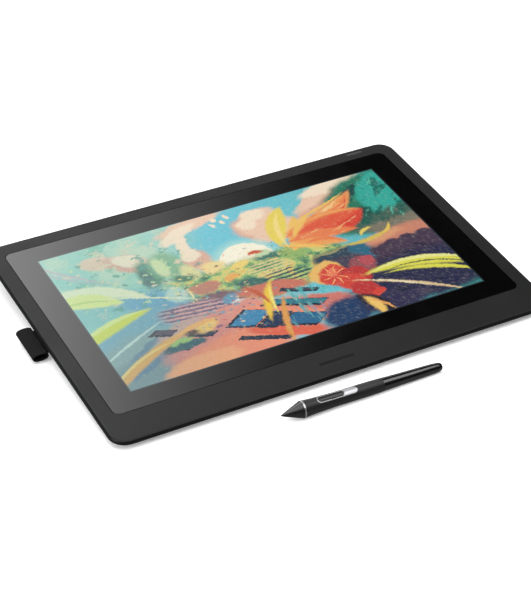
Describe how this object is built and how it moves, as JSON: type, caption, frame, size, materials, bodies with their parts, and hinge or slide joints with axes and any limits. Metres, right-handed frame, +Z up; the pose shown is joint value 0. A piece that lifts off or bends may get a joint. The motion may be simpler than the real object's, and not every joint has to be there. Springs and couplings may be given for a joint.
{
  "type": "pen drawing tablet",
  "caption": "Pen display tablet: wedge casing with a large flush screen, fold-out legs and a fabric pen loop, with its pressure pen lying in front.",
  "frame": {"origin": "middle of the footprint of the tablet and its pen, on the desk", "axes": "+X to the user's right, along the long side; +Y away from the user; +Z up from the desk"},
  "size_m": [0.435, 0.3182, 0.0259],
  "materials": {
    "casing_front": "matte, fine moulded texture",
    "casing_rear": "matte, moulded texture",
    "cover_glass": "etched, low glare",
    "gasket": "adhesive foam",
    "display": "lit screen with an abstract landscape",
    "light_guide": "clear acrylic",
    "sheet_steel": "stamped sheet",
    "circuit_board": "solder mask",
    "components": "moulded chips and switches",
    "ribbon": "polyimide film",
    "fasteners": "blackened steel",
    "brass": "turned",
    "socket_shell": "nickel plated",
    "foot_rubber": "soft rubber",
    "leg_plastic": "moulded",
    "loop_fabric": "woven elastic",
    "loop_anchor": "moulded",
    "pen_gloss": "polished",
    "pen_soft": "soft touch",
    "pen_metal": "satin silver",
    "pen_switch": "satin",
    "nib_plastic": "hard felt-like plastic",
    "coil": "copper winding"
  },
  "bodies": {
    "tablet": {"front_bezel": "casing_front", "rear_cover": "casing_rear", "rear_cover_screws": "fasteners", "cover_glass": "cover_glass", "glass_gasket": "gasket", "lcd_panel": "display", "panel_tray": "sheet_steel", "light_guide": "light_guide", "led_strip": "components", "sensor_board": "circuit_board", "shield_plate": "sheet_steel", "panel_clips": "sheet_steel", "main_board": "circuit_board", "board_standoffs": "brass", "board_screws": "fasteners", "board_chips": "components", "lcd_ribbon": "ribbon", "sensor_ribbon": "ribbon", "cable_socket": "socket_shell", "button_board": "circuit_board", "button_switch": "components", "power_light_pipe": "light_guide", "front_foot_left": "foot_rubber", "front_foot_right": "foot_rubber", "rear_foot_left": "foot_rubber", "rear_foot_right": "foot_rubber", "hinge_pin_left": "fasteners", "hinge_pin_right": "fasteners", "leg_washers_left": "fasteners", "leg_washers_right": "fasteners", "spare_nibs": "nib_plastic", "nib_puller": "socket_shell", "pen_loop": "loop_fabric", "pen_loop_anchor": "loop_anchor"},
    "power_button": {"power_button": "leg_plastic"},
    "leg_left": {"leg_left": "leg_plastic", "leg_pad_left": "foot_rubber"},
    "leg_right": {"leg_right": "leg_plastic", "leg_pad_right": "foot_rubber"},
    "pen": {"pen_cone": "pen_gloss", "pen_ring": "pen_metal", "pen_grip": "pen_soft", "pen_barrel": "pen_gloss", "pen_switch_frame": "pen_metal", "pen_coil": "coil", "pressure_sensor": "components", "pen_circuit": "circuit_board", "pen_carrier": "nib_plastic", "pen_switch_dome": "components", "tail_sensor": "components"},
    "pen_switch": {"pen_switch": "pen_switch"},
    "pen_nib": {"pen_nib": "nib_plastic"},
    "pen_tail": {"pen_tail": "pen_gloss"}
  },
  "joints": [
    {"name": "leg_left_hinge", "type": "hinge", "parent": "tablet", "child": "leg_left", "pos_m": [-0.1435, 0.11093, 0.0071], "axis": [1, 0, 0], "range_deg": [0, 90]},
    {"name": "leg_right_hinge", "type": "hinge", "parent": "tablet", "child": "leg_right", "pos_m": [0.1565, 0.11093, 0.0071], "axis": [1, 0, 0], "range_deg": [0, 90]},
    {"name": "power_button_press", "type": "slide", "parent": "tablet", "child": "power_button", "axis": [0, -0.9984, -0.0573], "range_m": [0, 0.0005], "stiffness_N_per_m": 2000, "springref_m": -0.0002},
    {"name": "pen_lift", "type": "slide", "parent": "tablet", "child": "pen", "axis": [0, 0, 1], "range_m": [0, 0.12]},
    {"name": "pen_switch_rock", "type": "hinge", "parent": "pen", "child": "pen_switch", "pos_m": [-0.02429, -0.1531, 0.01178], "axis": [0.0066, 0.9613, 0.2756], "range_deg": [-2, 2], "stiffness_Nm_per_rad": 0.5},
    {"name": "pen_nib_press", "type": "slide", "parent": "pen", "child": "pen_nib", "axis": [0.9997, 0, -0.0239], "range_m": [0, 0.0003], "stiffness_N_per_m": 2000, "springref_m": -0.0001},
    {"name": "pen_tail_press", "type": "slide", "parent": "pen", "child": "pen_tail", "axis": [-0.9997, 0, 0.0239], "range_m": [0, 0.0003], "stiffness_N_per_m": 2000, "springref_m": -0.0001}
  ]
}
